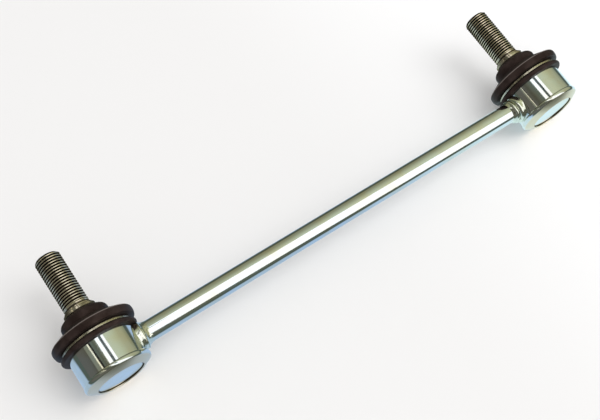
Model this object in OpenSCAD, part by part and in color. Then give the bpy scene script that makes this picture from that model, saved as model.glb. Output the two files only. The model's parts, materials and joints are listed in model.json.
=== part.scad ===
// Stabilizer link: a straight rod with a sealed ball joint welded to each end.
// X runs along the rod and the studs point to +Y. The link lies on the plane Z = 0 as it
// would on a bench, on its two boot lips and its two crimped rims.
// Heights in a joint are measured along its stud, from the centre of the ball.

/* [Link] */
// Distance between the two ball centres
centre_distance = 242; // [160:1:400]
// Diameter of the solid rod
rod_d = 9.4; // [7:0.1:10]
// Diameter of the weld flash beside the housing
weld_d = 14.6; // [12.5:0.1:15]
// Length of the weld flash along the rod
weld_len = 5; // [4:0.1:9]
// Radius of the outer ridge of the weld flash
weld_ridge = 1.8; // [1.2:0.1:2.2]
// Gap between the trimmed flash and the boot's bead
weld_gap = 0.2; // [0.1:0.1:0.6]

/* [Ball stud] */
// Diameter of the ball
ball_d = 17; // [15:0.1:18.4]
// Distance from the ball centre down to the flat under the ball
ball_flat = 7; // [5.5:0.1:7.3]
// Diameter of the neck above the ball
neck_d = 9.2; // [7.5:0.1:10]
// Radius of the fillet between the ball and the neck
neck_fillet = 1.2; // [0.6:0.1:1.5]
// Largest swing of the stud to each side, in degrees
swing = 20; // [12:1:22]
// Diameter of the thread
thread_d = 12; // [10:0.1:12.6]
// Pitch of the thread, which sets its run-out and its tip chamfer
thread_pitch = 1.25; // [1:0.05:1.75]
// Height of the tip of the stud
stud_reach = 51.2; // [42:0.1:75]
// Diameter of the collar that seats on the bracket
collar_d = 14.8; // [13.6:0.1:18]
// Height of the underside of the collar
collar_h = 22; // [20.5:0.1:26]
// Thickness of the collar
collar_t = 1.5; // [1:0.1:3]
// Chamfer on the collar's edges
collar_edge = 0.3; // [0.1:0.05:0.45]
// Diameter of the step above the collar
step_d = 13; // [12.7:0.1:13.5]
// Height of the step above the collar
step_t = 0.9; // [0.5:0.1:1.6]
// Diameter of the groove that the boot's neck sits in
stud_groove_d = 11.4; // [10.2:0.1:12.4]
// Length of that groove
stud_groove_len = 3.6; // [2.6:0.1:4.6]
// Diameter of the shoulder below the groove
shoulder_d = 12.8; // [12.4:0.1:14]
// Thickness of that shoulder
shoulder_t = 1.2; // [0.8:0.1:1.8]
// Width across the flats of the hex socket in the tip, which holds the stud as its nut is turned
socket_af = 5; // [4:0.5:6]
// Depth of that socket
socket_depth = 6; // [4:0.5:8]

/* [Bearing seats] */
// Height of the top of the upper seat
seat_top = 5.4; // [4.8:0.1:6.2]
// Gap between the two seats at the ball's equator
seat_gap = 0.4; // [0.1:0.1:1.5]
// Thickness of the lower seat under the flat of the ball
seat_base = 0.6; // [0.3:0.1:1.4]
// Running clearance of the ball in its seats and of the seats in the bore, on the radius
run_clear = 0.05; // [0.02:0.01:0.1]
// Clearance between the swung neck and the mouth of the joint
mouth_clear = 0.5; // [0.3:0.1:1]

/* [Preload spring] */
// Thickness of the conical disc spring
spring_t = 0.7; // [0.4:0.05:0.9]
// Height of the spring as it is fitted
spring_h = 1.2; // [0.95:0.05:1.8]
// Diameter of the hole in the spring
spring_bore = 11; // [8:0.1:16]

/* [Housing] */
// Outside diameter of the housing
housing_d = 30.4; // [29:0.1:34]
// Wall of the housing around the seats
housing_wall = 3.2; // [2.7:0.1:4]
// Height of the top of the housing
housing_top = 11.6; // [10.9:0.1:12.4]
// Depth of the boot groove, inwards from the retaining ring
boot_groove_depth = 1.5; // [0.8:0.1:2]
// Width of the boot groove
boot_groove_w = 2.6; // [2:0.1:3]
// Diameter of the flange above the boot groove
flange_d = 29.2; // [28.2:0.1:30]
// How far the crimped rim stands out from the housing's side
rim_proud = 0.3; // [0.1:0.05:0.8]
// Radius of the rolled edge of the rim
rim_round = 1; // [0.7:0.1:1.4]
// Height of the middle of the rolled edge above the rim's lowest point
rim_rise = 2.2; // [1.8:0.1:2.6]
// Thickness of the rim where it laps over the cap and ends in a full round
rim_t = 0.7; // [0.4:0.1:1.4]
// How far the rim laps over the cap, inwards from the edge of the cap's pocket
rim_lap = 1.6; // [1.2:0.1:3]

/* [End cap] */
// Thickness of the end cap
cap_t = 1.8; // [1.2:0.1:2.6]
// How far the cap's pocket is wider than the seat bore, on the radius
cap_step = 0.45; // [0.2:0.05:0.9]

/* [Boot] */
// Diameter of the boot's wide lip
lip_d = 38.5; // [36:0.1:44]
// Radius of the lip's bulging face, seen in section
lip_bulge = 4.5; // [3.8:0.1:8]
// Height of the widest part of the lip
lip_h = 12.1; // [11.7:0.1:13]
// Height of the lip's top edge
lip_top = 13.9; // [13.4:0.1:14.6]
// Height of the lip's underside
lip_base = 9.5; // [9.2:0.1:9.9]
// Thickness of the rubber behind the lip's face
lip_wall = 4.6; // [4:0.1:5]
// Height of the valley between the crown and the lip
valley_h = 17.9; // [17.2:0.1:18.2]
// Diameter of the bead under the retaining ring
bead_d = 35.8; // [34:0.1:38]
// Radius of the bead's round edge
bead_round = 1.1; // [0.8:0.1:1.4]
// Height of the middle of the bead
bead_h = 6.6; // [6.3:0.1:7]
// Diameter of the boot's crown, below its neck
crown_d = 22.2; // [20:0.1:24]
// Radius of the crown's round shoulder
crown_round = 2.8; // [1.8:0.1:3.2]
// Height of the middle of the crown
crown_h = 18.3; // [17.6:0.1:19]
// Diameter of the flat top of the boot's neck
neck_top_d = 14.8; // [13.6:0.1:15.6]
// Wall of the boot at its crown
boot_wall = 2.2; // [1.6:0.1:2.6]
// Assembly clearance between pieces that don't move on each other
fit = 0.02; // [0.01:0.01:0.06]

/* [Rings] */
// Outside diameter of the boot's retaining ring
ring_d = 32.6; // [32:0.1:34]
// Size of the retaining ring's square wire
ring_wire = 1.1; // [0.7:0.05:1.2]
// Opening in the split retaining ring, in degrees
ring_split = 6; // [2:1:20]
// Thickness of the steel ring inside the boot's neck
neck_ring_t = 0.9; // [0.5:0.05:1.2]
// Length of that ring along the stud
neck_ring_len = 1.4; // [0.8:0.1:2]

/* [Hidden] */
$fn = 96;
zinc = "#c9cccb";
phosphate = "#5d5449";
rubber = "#2c2728";
acetal = "#e8e3d4";
spring_steel = "#8d8f90";

// Stack of the joint, from the ball downwards
ball_r = ball_d / 2;
seat_floor = -(ball_flat + seat_base);
cap_inner = seat_floor - spring_h;
cap_outer = cap_inner - cap_t;
rim_floor = cap_outer - rim_t;

// Housing radii and the boot groove
housing_r = housing_d / 2;
bore_r = housing_r - housing_wall;
pocket_r = bore_r + cap_step;
ring_r = ring_d / 2;
groove_r = ring_r - ring_wire - boot_groove_depth;
ring_h = (bead_h + bead_round + lip_base) / 2;
groove_lo = ring_h - boot_groove_w / 2;
groove_hi = ring_h + boot_groove_w / 2;
rim_c = [housing_r + rim_proud - rim_round, rim_floor + rim_rise];
nose_round = rim_t / 2;
nose_c = [pocket_r - rim_lap + nose_round, rim_floor + nose_round];
rim_down = under(nose_c, nose_round, rim_c, rim_round);
rim_slope = -rim_down[0] / rim_down[1];

// Stud heights
collar_hi = collar_h + collar_t;
step_hi = collar_hi + step_t;
runout_len = thread_pitch;
thread_lo = step_hi + runout_len;
tip_chamfer = 0.8 * thread_pitch;
thread_root_r = thread_d / 2 - 0.2 * thread_pitch;
grip_lo = collar_h - stud_groove_len;
shoulder_lo = grip_lo - shoulder_t;
shoulder_taper = (shoulder_d - neck_d) / 2;
fillet_r = neck_d / 2 + neck_fillet;
fillet_c = [fillet_r, sqrt(pow(ball_r + neck_fillet, 2) - fillet_r * fillet_r)];

// Boot profile
lip_c = [lip_d / 2 - lip_bulge, lip_h];
bead_c = [bead_d / 2 - bead_round, bead_h];
crown_c = [crown_d / 2 - crown_round, crown_h];
neck_bore = stud_groove_d / 2 + fit;
neck_top = collar_h - fit;
neck_rim = [neck_top_d / 2, neck_top];
valley = [crown_c[0] + chord(crown_round, valley_h - crown_h), valley_h];
cavity_r = crown_d / 2 - boot_wall;

// The link rolls onto its lips and rims: the plane that touches both round faces
lean_reach = norm(lip_c - rim_c);
lay_angle = acos((rim_round - lip_bulge) / lean_reach) - atan2(lip_c[1] - rim_c[1], lip_c[0] - rim_c[0]);
lay_z = lip_c[0] * cos(lay_angle) - lip_c[1] * sin(lay_angle) + lip_bulge;
tip_y = stud_reach * cos(lay_angle) + (thread_d / 2 - tip_chamfer) * sin(lay_angle);
rim_y = nose_c[1] * cos(lay_angle) - nose_c[0] * sin(lay_angle) - nose_round;
lay_y = -(tip_y + rim_y) / 2;

// Radius of the mouth at a height: the side of the swung neck and its clearance
function mouth_r(h) = h * tan(swing) + neck_d / 2 / cos(swing) + mouth_clear;

// Half chord of a circle at a distance from its middle
function chord(r, off) = sqrt(r * r - off * off);

// Radius of the lip's face at a height
function lip_r(h) = lip_c[0] + chord(lip_bulge, h - lip_h);

// Direction square to the line that touches two circles from below, the first one nearer the axis
function under(c0, r0, c1, r1) =
    let (d = c1 - c0, a = atan2(d[1], d[0]) - acos((r0 - r1) / norm(d)))
    [cos(a), sin(a)];

// Point where a line from p touches a circle on its upper, outer side
function touch(p, c, r) =
    let (d = p - c, a = atan2(d[1], d[0]) - acos(r / norm(d)))
    c + r * [cos(a), sin(a)];

// Part of a profile from radius r0 to r1 and from height h0 to h1
module band(r0, r1, h0, h1) {
    translate([r0, h0]) square([r1 - r0, h1 - h0]);
}

// The same with its four corners rounded
module soft_band(r0, r1, h0, h1, round) {
    band(r0 + round, r1 - round, h0, h1);
    band(r0, r1, h0 + round, h1 - round);
    for (r = [r0 + round, r1 - round], h = [h0 + round, h1 - round])
        translate([r, h]) circle(round);
}

// Part of a profile that tapers from radius r0 at height h0 to radius r1 at height h1
module taper(r0, h0, r1, h1) {
    polygon([[0, h0], [r0, h0], [r1, h1], [0, h1]]);
}

// Lays the link on the bench
module lay() {
    translate([0, lay_y, lay_z]) rotate([lay_angle, 0, 0]) children();
}

// Stands a joint's pieces on their end of the rod: side is -1 on the left and 1 on the right
module at_joint(side) {
    lay() translate([side * centre_distance / 2, 0, 0]) rotate([-90, 0, 0]) children();
}

// Outside of the housing where the boot sits on it
module boot_seat_profile(grow) {
    band(0, housing_r + grow, rim_c[1], groove_lo + grow);
    band(0, groove_r + grow, groove_lo - fit, groove_hi + fit);
    band(0, flange_d / 2 + grow, groove_hi - grow, housing_top + grow);
}

module rod() {
    color(zinc)
    lay()
    difference() {
        rotate([0, 90, 0]) cylinder(d = rod_d, h = centre_distance, center = true);
        for (side = [-1, 1])
            translate([side * centre_distance / 2, 0, 0])
                rotate([90, 0, 0]) cylinder(r = housing_r, h = housing_d, center = true);
    }
}

// Flash pushed out where the rod's end was welded on: two ridges that sink to the rod
module weld(side) {
    ridge_r = weld_d / 2 - weld_ridge;
    tail_ridge = 0.7 * weld_ridge;
    tail_r = (rod_d / 2 + weld_d / 2) / 2 - tail_ridge / 2;
    tail_x = housing_r + weld_ridge + tail_ridge;
    color(zinc)
    lay()
    translate([side * centre_distance / 2, 0, 0])
    difference() {
        rotate([0, -side * 90, 0])
        rotate_extrude() {
            band(0, weld_d / 2, 0, housing_r);
            translate([ridge_r, housing_r]) circle(weld_ridge);
            band(0, ridge_r, 0, housing_r + weld_ridge);
            translate([tail_r, tail_x]) circle(tail_ridge);
            taper(tail_r, housing_r, tail_r, tail_x);
            taper(tail_r, tail_x, rod_d / 2, housing_r + weld_len);
        }
        rotate([90, 0, 0]) cylinder(r = housing_r, h = 2 * housing_d, center = true);
        rotate([0, 90, 0]) cylinder(d = rod_d, h = 4 * housing_d, center = true);
        // The flash is trimmed flat under the boot's bead
        translate([-housing_d, bead_h - bead_round - weld_gap, -housing_d]) cube(2 * housing_d);
    }
}

// Half section of the end cap out to radius r: the rim is rolled over its bevelled edge
module cap_profile(r) {
    polygon([
        [0, cap_outer], [nose_c[0], cap_outer], [r, cap_outer + (r - nose_c[0]) * rim_slope],
        [r, cap_inner], [0, cap_inner]
    ]);
}

module housing() {
    color(zinc)
    rotate_extrude()
    difference() {
        union() {
            boot_seat_profile(0);
            translate(rim_c) circle(rim_round);
            translate(nose_c) circle(nose_round);
            polygon([
                nose_c, nose_c + nose_round * rim_down, rim_c + rim_round * rim_down,
                rim_c, [nose_c[0], rim_c[1]]
            ]);
        }
        band(0, bore_r, cap_inner, seat_top);
        cap_profile(pocket_r);
        taper(mouth_r(seat_top), seat_top, mouth_r(housing_top), housing_top);
    }
}

module end_cap() {
    color(zinc)
    rotate_extrude() cap_profile(pocket_r - fit);
}

// Conical disc spring that presses the lower seat against the ball
module preload_spring() {
    outer = bore_r - 2 * run_clear;
    top = seat_floor - run_clear;
    color(spring_steel)
    rotate_extrude()
    polygon([
        [spring_bore / 2, top - spring_t], [outer, cap_inner],
        [outer, cap_inner + spring_t], [spring_bore / 2, top]
    ]);
}

module lower_seat() {
    color(acetal)
    rotate_extrude()
    difference() {
        band(0, bore_r - run_clear, seat_floor, -seat_gap / 2);
        circle(ball_r + run_clear);
        band(0, sqrt(ball_r * ball_r - ball_flat * ball_flat), seat_floor, 0);
    }
}

module upper_seat() {
    color(acetal)
    rotate_extrude()
    difference() {
        band(0, bore_r - run_clear, seat_gap / 2, seat_top - run_clear);
        circle(ball_r + run_clear);
        taper(mouth_r(0), 0, mouth_r(seat_top), seat_top);
    }
}

// Half section of the stud
module stud_profile() {
    intersection() {
        circle(ball_r);
        band(0, ball_r, -ball_flat, ball_r);
    }
    difference() {
        polygon([
            [0, 0], fillet_c * ball_r / (ball_r + neck_fillet), fillet_c,
            [neck_d / 2, fillet_c[1]], [0, fillet_c[1]]
        ]);
        translate(fillet_c) circle(neck_fillet);
    }
    band(0, neck_d / 2, 0, shoulder_lo);
    taper(neck_d / 2, shoulder_lo - shoulder_taper, shoulder_d / 2, shoulder_lo);
    band(0, shoulder_d / 2, shoulder_lo, grip_lo);
    band(0, stud_groove_d / 2, grip_lo, collar_h);
    taper(collar_d / 2 - collar_edge, collar_h, collar_d / 2, collar_h + collar_edge);
    band(0, collar_d / 2, collar_h + collar_edge, collar_hi - collar_edge);
    taper(collar_d / 2, collar_hi - collar_edge, collar_d / 2 - collar_edge, collar_hi);
    band(0, step_d / 2, collar_hi, step_hi);
    taper(step_d / 2, step_hi, thread_root_r, thread_lo);
    taper(thread_root_r, thread_lo, thread_d / 2, thread_lo + runout_len);
    band(0, thread_d / 2, thread_lo + runout_len, stud_reach - tip_chamfer);
    taper(thread_d / 2, stud_reach - tip_chamfer, thread_d / 2 - tip_chamfer, stud_reach);
}

module ball_stud() {
    color(phosphate)
    difference() {
        rotate_extrude() stud_profile();
        translate([0, 0, stud_reach - socket_depth])
            cylinder(d = socket_af / cos(30), h = socket_depth + tip_chamfer, $fn = 6);
    }
}

module boot() {
    crown_touch = touch(neck_rim, crown_c, crown_round);
    color(rubber)
    rotate_extrude()
    difference() {
        union() {
            polygon([[0, lip_h], crown_c, crown_touch, neck_rim, [0, neck_top]]);
            translate(crown_c) circle(crown_round);
            polygon([
                [0, lip_base], [lip_r(lip_base), lip_base], [lip_r(lip_top), lip_top],
                valley, [0, valley_h]
            ]);
            intersection() {
                translate(lip_c) circle(lip_bulge);
                band(lip_c[0], lip_d / 2, lip_base, lip_top);
            }
            band(0, ring_r - ring_wire, bead_h - bead_round, lip_h);
            band(0, bead_c[0], bead_h - bead_round, bead_h + bead_round);
            translate(bead_c) circle(bead_round);
        }
        boot_seat_profile(fit);
        polygon([
            [0, housing_top], [flange_d / 2 + fit, housing_top], [lip_d / 2 - lip_wall, lip_h],
            [cavity_r, grip_lo], [0, grip_lo]
        ]);
        band(0, neck_bore, grip_lo, neck_top);
        neck_ring_profile(0, fit);
    }
}

// Square-wire ring that holds the boot in the housing's groove, split on its lower side
module boot_ring() {
    color(zinc)
    rotate([0, 0, 90 + ring_split / 2])
    rotate_extrude(angle = 360 - ring_split)
    soft_band(
        ring_r - ring_wire + fit, ring_r,
        ring_h - ring_wire / 2, ring_h + ring_wire / 2, 0.2 * ring_wire);
}

module neck_ring_profile(inner, grow) {
    middle = (grip_lo + collar_h) / 2;
    half = neck_ring_len / 2 + grow;
    band(inner, stud_groove_d / 2 + run_clear + neck_ring_t + grow, middle - half, middle + half);
}

// Steel ring moulded into the boot's neck, which turns on the stud
module neck_ring() {
    color(spring_steel)
    rotate_extrude() neck_ring_profile(stud_groove_d / 2 + run_clear, 0);
}

rod();
weld(-1);  // left_weld
weld(1);  // right_weld
at_joint(-1) housing();  // left_housing
at_joint(1) housing();  // right_housing
at_joint(-1) end_cap();  // left_end_cap
at_joint(1) end_cap();  // right_end_cap
at_joint(-1) preload_spring();  // left_preload_spring
at_joint(1) preload_spring();  // right_preload_spring
at_joint(-1) lower_seat();  // left_lower_seat
at_joint(1) lower_seat();  // right_lower_seat
at_joint(-1) upper_seat();  // left_upper_seat
at_joint(1) upper_seat();  // right_upper_seat
at_joint(-1) ball_stud();  // left_ball_stud
at_joint(1) ball_stud();  // right_ball_stud
at_joint(-1) boot();  // left_boot
at_joint(1) boot();  // right_boot
at_joint(-1) boot_ring();  // left_boot_ring
at_joint(1) boot_ring();  // right_boot_ring
at_joint(-1) neck_ring();  // left_neck_ring
at_joint(1) neck_ring();  // right_neck_ring
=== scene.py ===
import json
import math

import bpy
from mathutils import Matrix, Quaternion, Vector


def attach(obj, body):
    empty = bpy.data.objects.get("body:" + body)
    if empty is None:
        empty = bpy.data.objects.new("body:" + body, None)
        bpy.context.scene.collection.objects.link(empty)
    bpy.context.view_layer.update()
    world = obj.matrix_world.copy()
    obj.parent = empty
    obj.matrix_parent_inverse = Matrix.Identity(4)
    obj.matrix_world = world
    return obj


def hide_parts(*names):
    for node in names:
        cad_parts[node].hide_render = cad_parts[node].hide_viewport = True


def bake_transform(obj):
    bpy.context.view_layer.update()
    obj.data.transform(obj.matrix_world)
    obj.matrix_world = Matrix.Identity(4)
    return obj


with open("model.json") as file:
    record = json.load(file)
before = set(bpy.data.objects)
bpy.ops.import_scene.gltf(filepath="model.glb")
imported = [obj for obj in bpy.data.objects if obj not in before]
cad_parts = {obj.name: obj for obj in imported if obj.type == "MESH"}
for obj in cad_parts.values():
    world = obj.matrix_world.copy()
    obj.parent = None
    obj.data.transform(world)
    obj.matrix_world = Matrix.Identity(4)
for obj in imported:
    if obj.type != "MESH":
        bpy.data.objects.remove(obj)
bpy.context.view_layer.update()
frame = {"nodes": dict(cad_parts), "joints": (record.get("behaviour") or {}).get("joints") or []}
nodes = frame["nodes"]
mm = 0.001
mergeMm = 0.0005  # points closer than this are one
sides = ("left", "right")
joints = {j["name"]: j for j in frame["joints"]}
studAxis = Vector(joints["left_stud_spin"]["axis"]).normalized()
ballCentre = Vector(joints["left_stud_spin"]["pos_m"])
layAngle = math.atan2(studAxis.z, studAxis.y)  # how far the link leans back on its boot lips
print("frame loaded:", len(nodes), "nodes")


# Small tools for modelling by operators

def deselectAll():
    if bpy.context.mode != "OBJECT":
        bpy.ops.object.mode_set(mode="OBJECT")
    bpy.ops.object.select_all(action="DESELECT")


def selectOnly(*objects):
    deselectAll()
    for o in objects:
        o.select_set(True)
    bpy.context.view_layer.objects.active = objects[-1]


def arc(centre, radius, fromDeg, toDeg, steps):  # points on a circle in the (radius, height) plane
    turns = [math.radians(fromDeg + (toDeg - fromDeg) * i / steps) for i in range(steps + 1)]
    return [(centre[0] + radius * math.cos(a), centre[1] + radius * math.sin(a)) for a in turns]


def line(start, end, steps):  # points on a straight stretch, ends included
    return [tuple(a + (b - a) * i / steps for a, b in zip(start, end)) for i in range(steps + 1)]


def drawOutline(name, outline):  # one vertex, extruded from point to point in mm
    deselectAll()
    bpy.ops.mesh.primitive_plane_add(size=mm)
    piece = bpy.context.active_object
    piece.name = piece.data.name = name
    bpy.ops.object.mode_set(mode="EDIT")
    bpy.ops.mesh.merge(type="CENTER")
    bpy.ops.transform.translate(value=(outline[0][0] * mm, 0, outline[0][1] * mm))
    for (r0, h0), (r1, h1) in zip(outline, outline[1:]):
        step = ((r1 - r0) * mm, 0, (h1 - h0) * mm)
        bpy.ops.mesh.extrude_region_move(TRANSFORM_OT_translate={"value": step})
    return piece


def closeMesh():  # merges doubles and points the faces outwards, in edit mode
    bpy.ops.mesh.select_all(action="SELECT")
    bpy.ops.mesh.remove_doubles(threshold=mergeMm * mm)
    bpy.ops.mesh.normals_make_consistent(inside=False)
    bpy.ops.object.mode_set(mode="OBJECT")


def lathe(name, outline, steps):  # spins an outline of (radius, height) about the upright axis
    piece = drawOutline(name, outline)
    bpy.ops.mesh.select_all(action="SELECT")
    bpy.ops.mesh.spin(steps=steps, angle=math.tau, center=(0, 0, 0), axis=(0, 0, 1))
    closeMesh()
    return piece


def applyModifier(piece, kind, **settings):
    selectOnly(piece)
    bpy.ops.object.modifier_add(type=kind)
    modifier = piece.modifiers[-1]
    for key, value in settings.items():
        setattr(modifier, key, value)
    bpy.ops.object.modifier_apply(modifier=modifier.name)


def combine(piece, tool, operation):  # a boolean that uses the tool up
    applyModifier(piece, "BOOLEAN", operation=operation, object=tool, solver="EXACT")
    bpy.data.objects.remove(tool)


def addCylinder(radius, depth, rotation=(0, 0, 0), vertices=128):
    deselectAll()
    bpy.ops.mesh.primitive_cylinder_add(vertices=vertices, radius=radius * mm, depth=depth * mm,
                                        rotation=rotation)
    return bpy.context.active_object


def smooth(piece, edgeDeg):
    selectOnly(piece)
    bpy.ops.object.shade_smooth_by_angle(angle=math.radians(edgeDeg))


def copyOf(piece, name):
    selectOnly(piece)
    bpy.ops.object.duplicate()
    made = bpy.context.active_object
    made.name = made.data.name = name
    return made


def place(piece, matrix):  # puts the place into the mesh and leaves the object at the origin
    piece.matrix_world = matrix
    selectOnly(piece)
    bpy.ops.object.transform_apply(location=True, rotation=True, scale=True)


def jointFrame(side):  # upright at the ball's centre, with the stud along local Z
    joint = joints[f"{side}_stud_spin"]
    turn = Vector((0, 0, 1)).rotation_difference(Vector(joint["axis"]))
    return Matrix.Translation(joint["pos_m"]) @ turn.to_matrix().to_4x4()


def rodFrame(side):  # at the ball's centre, local Z along the rod to its middle and local X along the stud
    inward = Vector((1 if side == "left" else -1, 0, 0))
    turn = Matrix((studAxis, inward.cross(studAxis), inward)).transposed()
    return Matrix.Translation(joints[f"{side}_stud_spin"]["pos_m"]) @ turn.to_4x4()


# Small tools for materials

noiseLow, noiseHigh = 0.3, 0.7  # nearly all of a noise texture's values lie between these


def colour(hexValue):  # sRGB hex to linear
    parts = [int(hexValue[i:i + 2], 16) / 255 for i in (1, 3, 5)]
    return [p / 12.92 if p <= 0.04045 else ((p + 0.055) / 1.055) ** 2.4 for p in parts] + [1.0]


def addNode(tree, kind, inputs=None, **settings):  # a socket as an input is linked, anything else is set
    node = tree.nodes.new("ShaderNode" + kind)
    for key, value in settings.items():
        setattr(node, key, value)
    for key, value in (inputs or {}).items():
        if isinstance(value, bpy.types.NodeSocket):
            tree.links.new(value, node.inputs[key])
        else:
            node.inputs[key].default_value = value
    return node


def newMaterial(name):
    material = bpy.data.materials.new(name)
    material.use_nodes = True
    tree = material.node_tree
    tree.nodes.clear()
    return material, tree


def finishMaterial(tree, shader):
    addNode(tree, "OutputMaterial", {"Surface": shader.outputs[0]})


def blendStops(ramp, stops):  # stops are (position, hex)
    stops = list(stops)
    while len(ramp.elements) < len(stops):
        ramp.elements.new(0.5)
    for element, (position, hexValue) in zip(ramp.elements, stops):
        element.position = position
        element.color = colour(hexValue)


def setMaterial(piece, material):
    piece.data.materials.clear()
    piece.data.materials.append(material)


# Bright zinc: electroplated over drawn steel, so a near mirror with fine lines along the drawing
zinc = dict(cool="#dbe3e6", warm="#dcdcd0", rolled="#e4d4b9", paintedGapShade="#0c0e10", roughness=(0.06, 0.12),
            satin=0.3, cloudMm=9, cloudFade=(0.35, 0.7), lineMm=0.4, lineReachMm=30, lineDepthMm=0.005,
            lineStrength=0.3, lineSpread=(0.3, 0.75), rolledFrom=-9.2, rolledTo=-9.6,
            paintedGapShadeFrom=10.15, paintedGapShadeTo=10.3)


def makeZinc(name, part):
    material, tree = newMaterial(name)
    coords = addNode(tree, "TexCoord").outputs["Object"]
    level = addNode(tree, "Mapping", {"Vector": coords, "Rotation": (-layAngle, 0, 0)}).outputs[0]
    fine, long = 1 / (zinc["lineMm"] * mm), 1 / (zinc["lineReachMm"] * mm)
    stretch = (long, fine, fine) if part == "rod" else (fine, long, fine)
    drawn = addNode(tree, "Mapping", {"Vector": level, "Scale": stretch}).outputs[0]
    lines = addNode(tree, "TexNoise", {"Vector": drawn, "Scale": 1.0, "Detail": 3.0, "Roughness": 0.6})
    cloud = addNode(tree, "TexNoise", {"Vector": coords, "Scale": 1 / (zinc["cloudMm"] * mm), "Detail": 2.0})
    tint = addNode(tree, "ValToRGB", {"Fac": cloud.outputs["Fac"]})
    blendStops(tint.color_ramp, zip(zinc["cloudFade"], (zinc["cool"], zinc["warm"])))
    low, high = zinc["roughness"]
    faint, strong = zinc["lineSpread"]
    gloss = addNode(tree, "MapRange", {"Value": lines.outputs["Fac"], "From Min": faint, "From Max": strong,
                                       "To Min": low, "To Max": high})
    base, rough = tint.outputs["Color"], gloss.outputs["Result"]
    normal = addNode(tree, "Bump", {"Height": lines.outputs["Fac"], "Strength": zinc["lineStrength"],
                                    "Distance": zinc["lineDepthMm"] * mm}).outputs["Normal"]
    if part == "housing":  # the rolled rim is duller and warmer than the turned side
        height = addNode(tree, "VectorMath", {0: coords, 1: studAxis}, operation="DOT_PRODUCT")
        start, end = (ballCentre.dot(studAxis) + zinc[key] * mm for key in ("rolledFrom", "rolledTo"))
        rolled = addNode(tree, "MapRange", {"Value": height.outputs["Value"], "From Min": start,
                                            "From Max": end}).outputs["Result"]
        base = addNode(tree, "Mix", {"Factor": rolled, 6: base, 7: colour(zinc["rolled"])},
                       data_type="RGBA").outputs[2]
        rough = addNode(tree, "Mix", {"Factor": rolled, 2: rough, 3: zinc["satin"]}).outputs[0]
    if part == "cap":  # painted shade: a dark ring painted on the cap under the rim's lap stands in for the shadow in the crevice there
        outward = Vector((0, -studAxis.z, studAxis.y))
        spot = addNode(tree, "SeparateXYZ", {"Vector": coords})
        span = addNode(tree, "Math", {0: spot.outputs["X"]}, operation="ABSOLUTE")
        aside = addNode(tree, "Math", {0: span.outputs[0], 1: abs(ballCentre.x)}, operation="SUBTRACT")
        lift = addNode(tree, "VectorMath", {0: coords, 1: outward}, operation="DOT_PRODUCT")
        above = addNode(tree, "Math", {0: lift.outputs["Value"], 1: ballCentre.dot(outward)},
                        operation="SUBTRACT")
        offset = addNode(tree, "CombineXYZ", {"X": aside.outputs[0], "Y": above.outputs[0]})
        radius = addNode(tree, "VectorMath", {0: offset.outputs[0]}, operation="LENGTH").outputs["Value"]
        paintedGapShade = addNode(tree, "MapRange", {"Value": radius, "From Min": zinc["paintedGapShadeFrom"] * mm,
                                         "From Max": zinc["paintedGapShadeTo"] * mm})
        base = addNode(tree, "Mix", {"Factor": paintedGapShade.outputs["Result"], 6: base, 7: colour(zinc["paintedGapShade"])},
                       data_type="RGBA").outputs[2]
    shader = addNode(tree, "BsdfPrincipled", {"Base Color": base, "Metallic": 1.0, "Roughness": rough,
                                              "Normal": normal})
    finishMaterial(tree, shader)
    return material


# Zinc over weld flash: the same plating on a rough skin, with soot left in its pits
flash = dict(pale="#dde0d2", soot="#2a261f", roughness=(0.1, 0.22), pitMm=1.1, pitFade=(0.27, 0.33),
             grainMm=0.6, grainDepthMm=0.02, grainStrength=0.4)


def makeFlash():
    material, tree = newMaterial("zincOverWeldFlash")
    coords = addNode(tree, "TexCoord").outputs["Object"]
    pits = addNode(tree, "TexNoise", {"Vector": coords, "Scale": 1 / (flash["pitMm"] * mm), "Detail": 2.0})
    grain = addNode(tree, "TexNoise", {"Vector": coords, "Scale": 1 / (flash["grainMm"] * mm), "Detail": 3.0})
    tint = addNode(tree, "ValToRGB", {"Fac": pits.outputs["Fac"]})
    blendStops(tint.color_ramp, zip(flash["pitFade"], (flash["soot"], flash["pale"])))
    low, high = flash["roughness"]
    rough = addNode(tree, "MapRange", {"Value": grain.outputs["Fac"], "From Min": noiseLow,
                                       "From Max": noiseHigh, "To Min": low, "To Max": high})
    bump = addNode(tree, "Bump", {"Height": grain.outputs["Fac"], "Strength": flash["grainStrength"],
                                  "Distance": flash["grainDepthMm"] * mm})
    shader = addNode(tree, "BsdfPrincipled", {
        "Base Color": tint.outputs["Color"], "Metallic": 1.0, "Roughness": rough.outputs["Result"],
        "Normal": bump.outputs["Normal"]})
    finishMaterial(tree, shader)
    return material


# Oiled phosphate on steel: olive-brown crystals, rubbed to bare steel on the crests; the near-black in the
# thread roots is painted shade
phosphate = dict(paintedRootShade="#120f0d", flank="#5c5345", crest="#e6dcc3", grazing="#6e5c46", roughness=(0.12, 0.2),
                 metallic=0.9, rootShadeAndWearFade=(0.3, 0.62, 0.95), wear=(0.85, 1.12), cloudMm=4,
                 grainMm=0.25, grainDepthMm=0.006, grainStrength=0.35)


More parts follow.
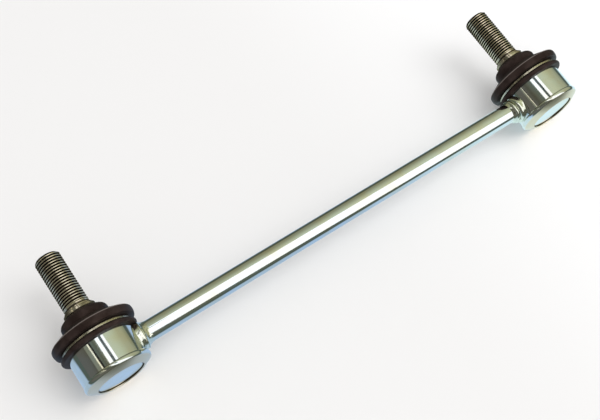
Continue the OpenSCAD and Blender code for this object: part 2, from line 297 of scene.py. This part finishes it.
def makePhosphate():
    material, tree = newMaterial("oiledPhosphateSteel")
    coords = addNode(tree, "TexCoord").outputs["Object"]
    grain = addNode(tree, "TexNoise", {"Vector": coords, "Scale": 1 / (phosphate["grainMm"] * mm),
                                       "Detail": 3.0})
    cloud = addNode(tree, "TexNoise", {"Vector": coords, "Scale": 1 / (phosphate["cloudMm"] * mm),
                                       "Detail": 2.0})
    least, most = phosphate["wear"]
    wear = addNode(tree, "MapRange", {"Value": cloud.outputs["Fac"], "From Min": noiseLow,
                                      "From Max": noiseHigh, "To Min": least, "To Max": most})
    # crest mark times a random wear: near-black at the roots is painted shade in the thread grooves, pale on
    # the crests is steel rubbed bare
    crest = addNode(tree, "Attribute", attribute_name="crest")
    paintedLightAndWear = addNode(tree, "Math", {0: crest.outputs["Fac"], 1: wear.outputs["Result"]}, operation="MULTIPLY")
    tint = addNode(tree, "ValToRGB", {"Fac": paintedLightAndWear.outputs[0]})
    blendStops(tint.color_ramp, zip(phosphate["rootShadeAndWearFade"],
                                    (phosphate["paintedRootShade"], phosphate["flank"], phosphate["crest"])))
    low, high = phosphate["roughness"]
    rough = addNode(tree, "MapRange", {"Value": grain.outputs["Fac"], "From Min": noiseLow,
                                       "From Max": noiseHigh, "To Min": low, "To Max": high})
    bump = addNode(tree, "Bump", {"Height": grain.outputs["Fac"], "Strength": phosphate["grainStrength"],
                                  "Distance": phosphate["grainDepthMm"] * mm})
    shader = addNode(tree, "BsdfPrincipled", {
        "Base Color": tint.outputs["Color"], "Metallic": phosphate["metallic"],
        "Roughness": rough.outputs["Result"], "Specular Tint": colour(phosphate["grazing"]),
        "Normal": bump.outputs["Normal"]})
    finishMaterial(tree, shader)
    return material


# Moulded chloroprene rubber: warm near-black, satin, with a fine mould texture, a little bloom and a painted
# highlight along the lip's top edge
rubber = dict(dark="#241b1a", bloom="#382e2c", edge="#766d69", sheen="#e2c8a2", roughness=(0.42, 0.58),
              specular=0.12, ior=1.52, cloudMm=5, bloomFade=(0.35, 0.75), grainMm=0.3, grainDepthMm=0.02,
              grainStrength=0.3)


def makeRubber():
    material, tree = newMaterial("mouldedChloropreneRubber")
    coords = addNode(tree, "TexCoord").outputs["Object"]
    grain = addNode(tree, "TexNoise", {"Vector": coords, "Scale": 1 / (rubber["grainMm"] * mm),
                                       "Detail": 2.0})
    cloud = addNode(tree, "TexNoise", {"Vector": coords, "Scale": 1 / (rubber["cloudMm"] * mm),
                                       "Detail": 3.0})
    tint = addNode(tree, "ValToRGB", {"Fac": cloud.outputs["Fac"]})
    blendStops(tint.color_ramp, zip(rubber["bloomFade"], (rubber["dark"], rubber["bloom"])))
    # painted highlight: the marked lip edge is painted a lighter grey
    edge = addNode(tree, "Attribute", attribute_name="edge")
    paintedEdgeHighlight = addNode(tree, "Mix", {"Factor": edge.outputs["Fac"], 6: tint.outputs["Color"],
                                    7: colour(rubber["edge"])}, data_type="RGBA")
    low, high = rubber["roughness"]
    rough = addNode(tree, "MapRange", {"Value": cloud.outputs["Fac"], "From Min": noiseLow,
                                       "From Max": noiseHigh, "To Min": low, "To Max": high})
    bump = addNode(tree, "Bump", {"Height": grain.outputs["Fac"], "Strength": rubber["grainStrength"],
                                  "Distance": rubber["grainDepthMm"] * mm})
    shader = addNode(tree, "BsdfPrincipled", {
        "Base Color": paintedEdgeHighlight.outputs[2], "Roughness": rough.outputs["Result"], "IOR": rubber["ior"],
        "Specular IOR Level": rubber["specular"], "Specular Tint": colour(rubber["sheen"]),
        "Normal": bump.outputs["Normal"]})
    finishMaterial(tree, shader)
    return material


# Drawn spring steel: warm bright wire with a fine grain
springSteel = dict(pale="#d9d2bd", dull="#aaa28d", roughness=(0.18, 0.34), grainMm=0.5, dullFade=(0.3, 0.6))


def makeSpringSteel():
    material, tree = newMaterial("drawnSpringSteel")
    coords = addNode(tree, "TexCoord").outputs["Object"]
    grain = addNode(tree, "TexNoise", {"Vector": coords, "Scale": 1 / (springSteel["grainMm"] * mm),
                                       "Detail": 3.0})
    tint = addNode(tree, "ValToRGB", {"Fac": grain.outputs["Fac"]})
    blendStops(tint.color_ramp, zip(springSteel["dullFade"], (springSteel["dull"], springSteel["pale"])))
    low, high = springSteel["roughness"]
    rough = addNode(tree, "MapRange", {"Value": grain.outputs["Fac"], "To Min": low, "To Max": high})
    shader = addNode(tree, "BsdfPrincipled", {
        "Base Color": tint.outputs["Color"], "Metallic": 1.0, "Roughness": rough.outputs["Result"]})
    finishMaterial(tree, shader)
    return material


# Natural acetal: milky ivory plastic with a waxy surface and a film of grease
acetal = dict(pale="#ece6d3", greased="#d8cda9", roughness=(0.25, 0.42), ior=1.48, filmMm=3,
              filmFade=(0.4, 0.65), milkiness=0.1, milkMm=1)


def makeAcetal():
    material, tree = newMaterial("naturalAcetal")
    coords = addNode(tree, "TexCoord").outputs["Object"]
    film = addNode(tree, "TexNoise", {"Vector": coords, "Scale": 1 / (acetal["filmMm"] * mm), "Detail": 3.0})
    tint = addNode(tree, "ValToRGB", {"Fac": film.outputs["Fac"]})
    blendStops(tint.color_ramp, zip(acetal["filmFade"], (acetal["pale"], acetal["greased"])))
    low, high = acetal["roughness"]
    rough = addNode(tree, "MapRange", {"Value": film.outputs["Fac"], "To Min": high, "To Max": low})
    shader = addNode(tree, "BsdfPrincipled", {
        "Base Color": tint.outputs["Color"], "Roughness": rough.outputs["Result"], "IOR": acetal["ior"],
        "Subsurface Weight": acetal["milkiness"], "Subsurface Scale": acetal["milkMm"] * mm})
    finishMaterial(tree, shader)
    return material


zincHousing = makeZinc("brightZincTurned", "housing")
zincCap = makeZinc("brightZincPressed", "cap")
zincRod = makeZinc("brightZincDrawn", "rod")
zincFlash = makeFlash()
phosphateSteel = makePhosphate()
bootRubber = makeRubber()
wireSteel = makeSpringSteel()
seatAcetal = makeAcetal()
finishes = {"rod": zincRod, "weld": zincFlash, "housing": zincHousing, "end_cap": zincCap,
            "boot_ring": wireSteel, "preload_spring": wireSteel, "neck_ring": wireSteel,
            "lower_seat": seatAcetal, "upper_seat": seatAcetal, "ball_stud": phosphateSteel,
            "boot": bootRubber}
for name, node in nodes.items():
    setMaterial(node, finishes[name.split("_", 1)[1] if name.startswith(sides) else name])
print("materials:", len(bpy.data.materials))


# Ball stud: turned body, rolled M12 x 1.25 thread, hex socket in the tip
stud = dict(threadDia=12, pitch=1.25, rootRadius=5.25, crestShape=0.6, ridgeSteps=12, turnsBelow=2,
            turnsAbove=3, mergeMm=0.001, reach=51.2, tipChamfer=1.0, ballSteps=24,
            ballRadius=8.5, ballFlat=7, neckRadius=4.6, shoulderRadius=6.4, shoulderLow=17.2, gripLow=18.4,
            gripRadius=5.7, collarRadius=7.4, collarLow=22, collarHigh=23.5, collarEdge=0.3,
            stepRadius=6.5, stepHigh=24.4, seam=0.18, runoutRadius=5.6, runoutHigh=24.9, threadLow=25.6,
            fadeLength=2.2, runoutLap=0.03, rootLap=0.05, threadPhase=0.37, collarWear=0.8, tipWear=0.6,
            tipBand=0.01, socketFlats=5, socketDepth=6, steps=72, edgeDeg=26)


def makeStud(name):
    s = stud
    crestRadius, pitch = s["threadDia"] / 2, s["pitch"]
    low = s["threadLow"] + s["threadPhase"] - s["turnsBelow"] * pitch
    turns = math.ceil((s["reach"] - low) / pitch) + s["turnsAbove"]
    ridgeSteps = s["ridgeSteps"]
    rises = [math.sin(math.pi * i / ridgeSteps) ** (2 * s["crestShape"]) for i in range(ridgeSteps)] + [0]
    ridge = [(s["rootRadius"] + (crestRadius - s["rootRadius"]) * rise, low + pitch * i / ridgeSteps)
             for i, rise in enumerate(rises)]
    thread = drawOutline(name, ridge)
    bpy.ops.object.mode_set(mode="OBJECT")
    applyModifier(thread, "SCREW", axis="Z", angle=math.tau, screw_offset=pitch * mm, iterations=turns,
                  steps=s["steps"], render_steps=s["steps"], use_merge_vertices=True,
                  merge_threshold=s["mergeMm"] * mm)
    bpy.ops.object.mode_set(mode="EDIT")
    bpy.ops.mesh.select_all(action="SELECT")
    bpy.ops.mesh.remove_doubles(threshold=s["mergeMm"] * mm)
    bpy.ops.mesh.select_all(action="DESELECT")
    bpy.ops.mesh.select_mode(type="EDGE")
    bpy.ops.mesh.select_non_manifold()
    bpy.ops.mesh.edge_face_add()
    bpy.ops.mesh.select_mode(type="VERT")
    closeMesh()
    reach, chamfer = s["reach"], s["tipChamfer"]
    blank = lathe("blank", [
        (0, s["runoutHigh"]), (s["runoutRadius"], s["runoutHigh"]), (crestRadius, s["threadLow"]),
        (crestRadius, reach - chamfer), (crestRadius - chamfer, reach), (0, reach)], s["steps"])
    combine(thread, blank, "INTERSECT")
    ballTop = math.degrees(math.acos(s["neckRadius"] / s["ballRadius"]))
    ballLow = -math.degrees(math.asin(s["ballFlat"] / s["ballRadius"]))
    fade = s["threadLow"] + s["fadeLength"]
    body = lathe("body", [
        (0, -s["ballFlat"]), *arc((0, 0), s["ballRadius"], ballLow, ballTop, s["ballSteps"]),
        (s["neckRadius"], s["shoulderLow"] - s["shoulderRadius"] + s["neckRadius"]),
        (s["shoulderRadius"], s["shoulderLow"]), (s["shoulderRadius"], s["gripLow"]),
        (s["gripRadius"], s["gripLow"]), (s["gripRadius"], s["collarLow"]),
        (s["collarRadius"] - s["collarEdge"], s["collarLow"]),
        (s["collarRadius"], s["collarLow"] + s["collarEdge"]),
        (s["collarRadius"], s["collarHigh"] - s["collarEdge"]),
        (s["collarRadius"] - s["collarEdge"], s["collarHigh"]),
        (s["stepRadius"], s["collarHigh"] - s["seam"]), (s["stepRadius"], s["stepHigh"] - s["seam"]),
        (s["stepRadius"] - s["seam"], s["stepHigh"]), (s["runoutRadius"], s["stepHigh"] + s["seam"]),
        (s["runoutRadius"], s["runoutHigh"]), (crestRadius - s["runoutLap"], s["threadLow"]),
        (s["rootRadius"] - s["rootLap"], fade), (0, fade)], s["steps"])
    combine(thread, body, "UNION")
    socket = addCylinder(s["socketFlats"] / 2 / math.cos(math.pi / 6), 2 * s["socketDepth"], vertices=6)
    place(socket, Matrix.Translation((0, 0, reach * mm)))
    combine(thread, socket, "DIFFERENCE")
    # crest mark from the thread roots, 0, painted as shade there, to the crests, 1, worn bare; collar, ball
    # and tip end get their own values
    crest = thread.data.attributes.new("crest", "FLOAT", "POINT")
    edge = s["rootRadius"] * mm, crestRadius * mm
    for vertex, value in zip(thread.data.vertices, crest.data):
        rootShadeAndWear = min(1, max(0, (vertex.co.xy.length - edge[0]) / (edge[1] - edge[0])))
        if vertex.co.z < s["stepHigh"] * mm:
            rootShadeAndWear = min(rootShadeAndWear, s["collarWear"])
        if vertex.co.z < s["shoulderLow"] * mm:
            rootShadeAndWear = s["collarWear"]
        if vertex.co.z > (reach - s["tipBand"]) * mm:
            rootShadeAndWear = s["tipWear"]
        value.value = rootShadeAndWear
    smooth(thread, s["edgeDeg"])
    setMaterial(thread, phosphateSteel)
    return thread


leftStud = makeStud("left_threaded_stud")
rightStud = copyOf(leftStud, "right_threaded_stud")
for side, piece in zip(sides, (leftStud, rightStud)):
    place(piece, jointFrame(side))
    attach(piece, f"{side}_stud")
    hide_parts(f"{side}_ball_stud")
print("studs:", len(leftStud.data.vertices), "vertices each")


# Boot: one rubber moulding from the neck on the stud to the bead on the housing
boot = dict(lipRadius=19.1, lipBulge=4.5, lipHeight=11.7, lipTop=13.0, lipBase=9.5, lipSteps=14,
            edgeRound=0.2, edgeFade=0.5, edgeEase=(0.09, 0.02), edgeBand=0.05, baseEase=(0.65, 0.04),
            baseFlat=0.95, beadRadius=17.9, beadRound=1.1, beadHeight=6.6, beadSteps=12,
            crownRadius=11.1, crownRound=2.8, crownHeight=18.3, crownSteps=8, valleyHeight=16.9,
            valleyEaseDeg=4, valleyEase=(0.14, 0.12), coneSteps=4, neckRadius=7.4, neckTop=21.98,
            neckEase=(0.25, 0.15), neckBore=5.72, ringBed=15.2, bedEase=0.3, housingRadius=15.22,
            grooveRadius=13.72, grooveLow=7.32, grooveHigh=9.88, flangeRadius=14.62, flangeTop=11.62,
            cavityRadius=8.9, cavityTop=18.46, bendFrom=12.5, bendTo=18.2, steps=128, edgeDeg=16)


def touchAngle(point, centre, radius):  # where a line from a point touches a circle's outer side, in degrees
    away = (point[0] - centre[0], point[1] - centre[1])
    return math.degrees(math.atan2(away[1], away[0]) - math.acos(radius / math.hypot(*away)))


def makeBoot(name):
    b = boot
    crown = (b["crownRadius"] - b["crownRound"], b["crownHeight"])
    lip = (b["lipRadius"] - b["lipBulge"], b["lipHeight"])
    bead = (b["beadRadius"] - b["beadRound"], b["beadHeight"])
    neckRim = (b["neckRadius"], b["neckTop"])
    valleyDeg = math.degrees(math.asin((b["valleyHeight"] - crown[1]) / b["crownRound"]))
    valley = arc(crown, b["crownRound"], valleyDeg, valleyDeg, 1)[0]
    topDeg, baseDeg = (math.degrees(math.asin((b[key] - lip[1]) / b["lipBulge"]))
                       for key in ("lipTop", "lipBase"))
    edge = arc(lip, b["lipBulge"], topDeg, topDeg, 1)[0]
    slope = math.degrees(math.atan2(valley[1] - edge[1], valley[0] - edge[0]))  # of the cone above the lip
    easeDeg = math.degrees(b["edgeRound"] / b["lipBulge"])
    neckIn, neckDown = b["neckEase"]
    valleyOut, valleyDown = b["valleyEase"]
    edgeIn, edgeDown = b["edgeEase"]
    baseIn, baseUp = b["baseEase"]
    bed, ease = b["ringBed"], b["bedEase"]
    outline = [
        (b["neckBore"], b["neckTop"]), (neckRim[0] - neckIn, neckRim[1]), (neckRim[0], neckRim[1] - neckDown),
        *arc(crown, b["crownRound"], touchAngle(neckRim, crown, b["crownRound"]),
             valleyDeg + b["valleyEaseDeg"], b["crownSteps"]),
        *line((valley[0] + valleyOut, valley[1] - valleyDown),
              arc(edge, b["edgeFade"], slope, slope, 1)[0], b["coneSteps"]),
        arc(edge, b["edgeRound"], slope, slope, 1)[0],
        (edge[0] - edgeIn, edge[1] - edgeDown),
        *arc(lip, b["lipBulge"], topDeg - easeDeg, baseDeg + easeDeg, b["lipSteps"]),
        (edge[0] - baseIn, b["lipBase"] + baseUp), (edge[0] - b["baseFlat"], b["lipBase"]),
        (bed + ease, b["lipBase"]), (bed, b["lipBase"] - ease),
        (bed, bead[1] + b["beadRound"] + ease), (bed + ease, bead[1] + b["beadRound"]),
        *arc(bead, b["beadRound"], 90, -90, b["beadSteps"]),
        (b["housingRadius"], bead[1] - b["beadRound"]), (b["housingRadius"], b["grooveLow"]),
        (b["grooveRadius"], b["grooveLow"]), (b["grooveRadius"], b["grooveHigh"]),
        (b["flangeRadius"], b["grooveHigh"]), (b["flangeRadius"], b["flangeTop"]),
        (b["cavityRadius"], b["cavityTop"]), (b["neckBore"], b["cavityTop"]), (b["neckBore"], b["neckTop"])]
    piece = lathe(name, outline, b["steps"])
    # painted highlight: the vertices at the lip's top edge are marked for a lighter grey line
    paintedLightAndWear = piece.data.attributes.new("edge", "FLOAT", "POINT")
    for vertex, value in zip(piece.data.vertices, paintedLightAndWear.data):
        away = math.hypot(vertex.co.xy.length / mm - edge[0], vertex.co.z / mm - edge[1])
        value.value = 1.0 if away < b["edgeRound"] + b["edgeBand"] else 0.0
    smooth(piece, b["edgeDeg"])
    setMaterial(piece, bootRubber)
    return piece


leftBoot = makeBoot("left_rubber_boot")
rightBoot = copyOf(leftBoot, "right_rubber_boot")
for side, piece in zip(sides, (leftBoot, rightBoot)):
    at = jointFrame(side)
    place(piece, at)
    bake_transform(piece)
    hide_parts(f"{side}_boot")
print("boots:", len(leftBoot.data.vertices), "vertices each")


# Housing: a turned cup, its wall rolled over the end cap in a round bead
housing = dict(radius=15.2, mouthTop=(9.617, 11.6), mouthLow=(7.361, 5.4), flangeRadius=14.6,
               grooveRadius=13.7, grooveHigh=9.9, grooveLow=7.3, bore=12.0, pocketRadius=12.45,
               pocketTop=-8.8, pocketEdge=-10.16, bead=(14.32, -8.4), beadRise=0.3, beadRound=1.3,
               beadSteps=(8, 12), nose=(11.2, -10.95), noseRound=0.35, noseEndDeg=-270, noseSteps=14,
               steps=160, edgeDeg=20)


def makeHousing(name):
    h = housing
    mouthHigh = h["mouthTop"][1]
    startDeg = math.degrees(math.acos((h["radius"] - h["bead"][0]) / h["beadRound"]))
    away = (h["bead"][0] - h["nose"][0], h["bead"][1] - h["nose"][1])
    faceDeg = math.degrees(math.atan2(away[1], away[0])
                           - math.acos((h["noseRound"] - h["beadRound"]) / math.hypot(*away)))
    upperBead = (h["bead"][0], h["bead"][1] + h["beadRise"])
    upperSteps, lowerSteps = h["beadSteps"]
    outline = [
        h["mouthTop"], (h["flangeRadius"], mouthHigh), (h["flangeRadius"], h["grooveHigh"]),
        (h["grooveRadius"], h["grooveHigh"]), (h["grooveRadius"], h["grooveLow"]),
        (h["radius"], h["grooveLow"]),
        *arc(upperBead, h["beadRound"], startDeg, 0, upperSteps),
        *arc(h["bead"], h["beadRound"], 0, faceDeg, lowerSteps),
        *arc(h["nose"], h["noseRound"], faceDeg, h["noseEndDeg"], h["noseSteps"]),
        (h["pocketRadius"], h["pocketEdge"]), (h["pocketRadius"], h["pocketTop"]),
        (h["bore"], h["pocketTop"]), (h["bore"], h["mouthLow"][1]), h["mouthLow"], h["mouthTop"]]
    piece = lathe(name, outline, h["steps"])
    smooth(piece, h["edgeDeg"])
    setMaterial(piece, zincHousing)
    return piece


leftHousing = makeHousing("left_rolled_housing")
rightHousing = copyOf(leftHousing, "right_rolled_housing")
for side, piece in zip(sides, (leftHousing, rightHousing)):
    place(piece, jointFrame(side))
    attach(piece, "link")
    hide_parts(f"{side}_housing")
print("housings:", len(leftHousing.data.vertices), "vertices each")


# Weld flash: uneven metal squeezed out round the rod's end, cut to the housing's side and to the rod
weld = dict(rodRadius=4.7, lap=0.8, backSteps=6, housingRadius=15.2, buried=9, trimHeight=5.3, trimSize=40,
            cutterLength=80, lumpMm=2.4, lumpDepthMm=0.3, lumpMiddle=0.5, steps=96, edgeDeg=50)
flares = {
    "left": [*line((6.3, 9), (6.3, 15.6), 14), *arc((5.9, 16.2), 0.45, -10, 60, 4),
             *arc((8.4, 19.9), 3.7, 238, 180, 12), (4.5, 20.6)],
    "right": [*line((6.95, 9), (6.95, 15.3), 14), *arc((5.35, 15.6), 1.6, 0, 60, 7),
              *arc((4.95, 18.0), 1.1, -60, 70, 9), *line((5.15, 19.5), (4.5, 20.6), 4)]}


def makeWeld(name, flare):
    w = weld
    inner = w["rodRadius"] - w["lap"]
    back = line((inner, flare[-1][1]), (inner, w["buried"]), w["backSteps"])
    outline = [(inner, w["buried"]), *flare, *back]
    piece = lathe(name, outline, w["steps"])
    lumps = bpy.data.textures.new("weldLumps", "CLOUDS")
    lumps.noise_scale = w["lumpMm"] * mm
    lumps.noise_depth = 1
    applyModifier(piece, "DISPLACE", texture=lumps, texture_coords="LOCAL", strength=w["lumpDepthMm"] * mm,
                  mid_level=w["lumpMiddle"])
    combine(piece, addCylinder(w["rodRadius"], w["cutterLength"]), "DIFFERENCE")
    acrossRod = (0, math.pi / 2, 0)
    combine(piece, addCylinder(w["housingRadius"], w["cutterLength"], rotation=acrossRod), "DIFFERENCE")
    deselectAll()
    half = w["trimSize"] / 2
    trimAt = ((w["trimHeight"] + half) * mm, 0, half * mm)
    bpy.ops.mesh.primitive_cube_add(size=w["trimSize"] * mm, location=trimAt)
    combine(piece, bpy.context.active_object, "DIFFERENCE")
    smooth(piece, w["edgeDeg"])
    setMaterial(piece, zincFlash)
    return piece


for side in sides:
    piece = makeWeld(f"{side}_weld_flash", flares[side])
    place(piece, rodFrame(side))
    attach(piece, "link")
    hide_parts(f"{side}_weld")
    print(side, "weld:", len(piece.data.vertices), "vertices")


# Stage: a pale table, a soft light, and the window and walls that the plating mirrors
view = dict(eye=(-161.2, -199.79, 409.2), aim=(-13.86, -6.44, 16.88), rollDeg=2.23, focalPx=1014.2,
            imageWidthPx=600, clip=(0.01, 60))


def makeCamera():
    data = bpy.data.cameras.new("camera")
    data.sensor_fit = "HORIZONTAL"
    data.lens = view["focalPx"] / view["imageWidthPx"] * data.sensor_width
    data.clip_start, data.clip_end = view["clip"]
    camera = bpy.data.objects.new("camera", data)
    bpy.context.scene.collection.objects.link(camera)
    eye, aim = (Vector(view[key]) * mm for key in ("eye", "aim"))
    roll = Quaternion((0, 0, 1), math.radians(view["rollDeg"]))
    camera.rotation_mode = "QUATERNION"
    camera.rotation_quaternion = (aim - eye).to_track_quat("-Z", "Y") @ roll
    camera.location = eye
    bpy.context.scene.camera = camera


# Table: near white to the eye, painted a little darker to the left for the light's falloff; in the plating it
# is a painted glow, pale blue before the link, dark further off and darker sooner behind the link as a
# painted shadow
table = dict(seenLeft="#efeeed", seenRight="#fdfdfd", seenFade=(0, 190), nearLeft="#b1c9e4",
             nearRight="#e2faff", nearFade=(0, 130), glow=1.1, faroff="#566058", brightTo=85, darkFrom=145,
             frontScale=2.6, backScale=3.4, size=10.0)


def makeTable():
    deselectAll()
    bpy.ops.mesh.primitive_plane_add(size=table["size"])
    floor = bpy.context.active_object
    floor.name = "table"
    material, tree = newMaterial("paleTable")
    spot = addNode(tree, "SeparateXYZ", {"Vector": addNode(tree, "TexCoord").outputs["Object"]})
    span = addNode(tree, "Math", {0: spot.outputs["X"]}, operation="ABSOLUTE")
    past = addNode(tree, "Math", {0: span.outputs[0], 1: abs(ballCentre.x)}, operation="SUBTRACT")
    along = addNode(tree, "Math", {0: past.outputs[0], 1: 0.0}, operation="MAXIMUM")
    aside = addNode(tree, "Math", {0: spot.outputs["Y"], 1: ballCentre.y}, operation="SUBTRACT")
    front = addNode(tree, "Math", {0: aside.outputs[0], 1: -table["frontScale"]}, operation="MULTIPLY")
    back = addNode(tree, "Math", {0: aside.outputs[0], 1: table["backScale"]}, operation="MULTIPLY")
    deep = addNode(tree, "Math", {0: front.outputs[0], 1: back.outputs[0]}, operation="MAXIMUM")
    offset = addNode(tree, "CombineXYZ", {"X": along.outputs[0], "Y": deep.outputs[0]})
    away = addNode(tree, "VectorMath", {0: offset.outputs[0]}, operation="LENGTH")
    far = addNode(tree, "MapRange", {"Value": away.outputs["Value"], "From Min": table["brightTo"] * mm,
                                     "From Max": table["darkFrom"] * mm}, interpolation_type="SMOOTHSTEP")
    nearFrom, nearTo = table["nearFade"]
    across = addNode(tree, "MapRange", {"Value": spot.outputs["X"], "From Min": nearFrom * mm,
                                        "From Max": nearTo * mm}, interpolation_type="SMOOTHSTEP")
    near = addNode(tree, "Mix", {"Factor": across.outputs["Result"], 6: colour(table["nearLeft"]),
                                 7: colour(table["nearRight"])}, data_type="RGBA")
    mirrored = addNode(tree, "Mix", {"Factor": far.outputs["Result"], 6: near.outputs[2],
                                     7: colour(table["faroff"])}, data_type="RGBA")
    # painted reflection: in the plating the table glows instead of being lit, darker sooner behind the link
    # as a painted shadow
    glow = addNode(tree, "Emission", {"Color": mirrored.outputs[2], "Strength": table["glow"]})
    # painted light falloff: the table's own colour darkens to the left
    seenFrom, seenTo = table["seenFade"]
    rightward = addNode(tree, "MapRange", {"Value": spot.outputs["X"], "From Min": seenFrom * mm,
                                           "From Max": seenTo * mm}, interpolation_type="SMOOTHSTEP")
    seen = addNode(tree, "Mix", {"Factor": rightward.outputs["Result"], 6: colour(table["seenLeft"]),
                                 7: colour(table["seenRight"])}, data_type="RGBA")
    diffuse = addNode(tree, "BsdfDiffuse", {"Color": seen.outputs[2]})
    path = addNode(tree, "LightPath")
    finishMaterial(tree, addNode(tree, "MixShader", {0: path.outputs["Is Glossy Ray"], 1: diffuse.outputs[0],
                                                     2: glow.outputs[0]}))
    setMaterial(floor, material)


# Room: ochre walls to the right and a dark side to the left in the plating, white to the eye;
# the plating throws the brighter front of it on the table
room = dict(across=(0.828, 0.561, 0), along=(0.561, -0.828, 0), ambient="#e9e9e9", seen="#ffffff",
            shade=[(0.0, "#6c6b62"), (0.17, "#676660"), (0.235, "#565447"), (0.275, "#666759"),
                   (0.34, "#687065"), (0.375, "#606255"), (0.42, "#757865")],
            walls=[(0.0, "#8f937a"), (0.1, "#9fa183"), (0.2, "#abab8c"), (0.28, "#b4b392"), (0.5, "#bbb996"),
                   (0.74, "#cacdab"), (0.98, "#dce0c1")],
            turn=(-0.03, 0.06), fade=(-0.4, 0.25), dusk=(0.08, 0.3), duskTo=(0.2, 0.62),
            thrown=4.0, thrownFrom=(-0.1, 0.5))


def makeRoom():
    world = bpy.data.worlds.new("room")
    world.use_nodes = True
    bpy.context.scene.world = world
    tree = world.node_tree
    tree.nodes.clear()
    ray = addNode(tree, "TexCoord").outputs["Generated"]
    rise = addNode(tree, "SeparateXYZ", {"Vector": ray})
    rightward = addNode(tree, "VectorMath", {0: ray, 1: room["across"]}, operation="DOT_PRODUCT")
    frontward = addNode(tree, "VectorMath", {0: ray, 1: room["along"]}, operation="DOT_PRODUCT")
    walls = addNode(tree, "ValToRGB", {"Fac": rise.outputs["Z"]})
    blendStops(walls.color_ramp, room["walls"])
    dusk = addNode(tree, "MapRange", {
        "Value": rise.outputs["Z"], "From Min": room["dusk"][0], "From Max": room["dusk"][1],
        "To Min": room["duskTo"][0], "To Max": room["duskTo"][1]})
    fade = addNode(tree, "MapRange", {"Value": frontward.outputs["Value"], "From Min": room["fade"][0],
                                      "From Max": room["fade"][1], "To Min": dusk.outputs["Result"]})
    lit = addNode(tree, "Mix", {"Factor": 1.0, 6: walls.outputs["Color"], 7: fade.outputs["Result"]},
                  data_type="RGBA", blend_type="MULTIPLY")
    turn = addNode(tree, "MapRange", {"Value": rightward.outputs["Value"], "From Min": room["turn"][0],
                                      "From Max": room["turn"][1]})
    leftward = addNode(tree, "MapRange", {"Value": rightward.outputs["Value"], "From Min": -1.0,
                                          "From Max": 1.0})
    shade = addNode(tree, "ValToRGB", {"Fac": leftward.outputs["Result"]})
    blendStops(shade.color_ramp, room["shade"])
    mirrored = addNode(tree, "Mix", {"Factor": turn.outputs["Result"], 6: shade.outputs["Color"],
                                     7: lit.outputs[2]}, data_type="RGBA")
    path = addNode(tree, "LightPath")
    unscattered = addNode(tree, "Math", {0: path.outputs["Diffuse Depth"], 1: 0.5},
                          operation="LESS_THAN")  # no diffuse bounce yet
    inPlating = addNode(tree, "Math", {0: path.outputs["Is Glossy Ray"], 1: unscattered.outputs[0]},
                        operation="MULTIPLY")
    thrown = addNode(tree, "Math", {0: path.outputs["Is Glossy Ray"], 1: inPlating.outputs[0]},
                     operation="SUBTRACT")
    extra = addNode(tree, "MapRange", {"Value": frontward.outputs["Value"], "From Min": room["thrownFrom"][0],
                                       "From Max": room["thrownFrom"][1], "To Max": room["thrown"]})
    strength = addNode(tree, "Math", {0: thrown.outputs[0], 1: extra.outputs["Result"], 2: 1.0},
                       operation="MULTIPLY_ADD")
    around = addNode(tree, "Mix", {"Factor": inPlating.outputs[0], 6: colour(room["ambient"]),
                                   7: mirrored.outputs[2]}, data_type="RGBA")
    seen = addNode(tree, "Mix", {"Factor": path.outputs["Is Camera Ray"], 6: around.outputs[2],
                                 7: colour(room["seen"])}, data_type="RGBA")
    background = addNode(tree, "Background", {"Color": seen.outputs[2], "Strength": strength.outputs[0]})
    addNode(tree, "OutputWorld", {"Surface": background.outputs[0]})


# Panels seen only in the plating: corners are (across, along) in mm at a height above the table
panels = {
    "window": dict(height=1350, glow=1.5, tint="#ffffff",
                   corners=[(-130, -800), (69, -800), (4645, 20000), (-3300, 20000), (-1500, 6400),
                            (-1230, 2620)]),
    "glazingBar": dict(height=1340, glow=0.12, tint="#b9d2ce",
                       corners=[(-66, -800), (98, -800), (98, 100), (-66, 100)]),
    "sill": dict(height=265, glow=0.33, tint="#dfe3cb",
                 corners=[(-350, -400), (-261, -400), (-261, -100), (-350, -100)]),
    "reflector": dict(height=264, glow=1.35, tint="#fdf6de",
                      corners=[(-260, -330), (-241, -330), (-241, -100), (-260, -100)]),
    "blackout": dict(height=264, glow=0.02, tint="#ffffff",
                     corners=[(-239, -330), (-213, -330), (-213, -60), (-239, -60)])}


def makePanel(name, panel):
    piece = drawOutline(name, panel["corners"])
    bpy.ops.mesh.select_all(action="SELECT")
    bpy.ops.mesh.edge_face_add()
    bpy.ops.object.mode_set(mode="OBJECT")
    across, along = Vector(room["across"]), Vector(room["along"])
    turn = Matrix((across, across.cross(along), along)).transposed().to_4x4()
    place(piece, Matrix.Translation((0, 0, panel["height"] * mm)) @ turn)
    material, tree = newMaterial(name + "Light")
    glow = addNode(tree, "Emission", {"Color": colour(panel["tint"]), "Strength": panel["glow"]})
    finishMaterial(tree, glow)
    setMaterial(piece, material)
    piece.visible_camera = piece.visible_diffuse = piece.visible_shadow = False


# Softbox: the light that falls on the table and throws the soft shadow
softbox = dict(power=24.8, size=(1.6, 2.2), distance=2.6, toward=(0.45, -0.3, 0.84))


def makeSoftbox():
    data = bpy.data.lights.new("softbox", "AREA")
    data.shape = "RECTANGLE"
    data.size, data.size_y = softbox["size"]
    data.energy = softbox["power"]
    lamp = bpy.data.objects.new("softbox", data)
    bpy.context.scene.collection.objects.link(lamp)
    toward = Vector(softbox["toward"]).normalized()
    lamp.location = toward * softbox["distance"]
    lamp.rotation_mode = "QUATERNION"
    lamp.rotation_quaternion = (-toward).to_track_quat("-Z", "Y")
    lamp.visible_glossy = False  # the window panel is what the plating mirrors


makeCamera()
makeTable()
makeRoom()
for name, panel in panels.items():
    makePanel(name, panel)
makeSoftbox()
bpy.context.scene.view_settings.view_transform = "Standard"
print("stage set")
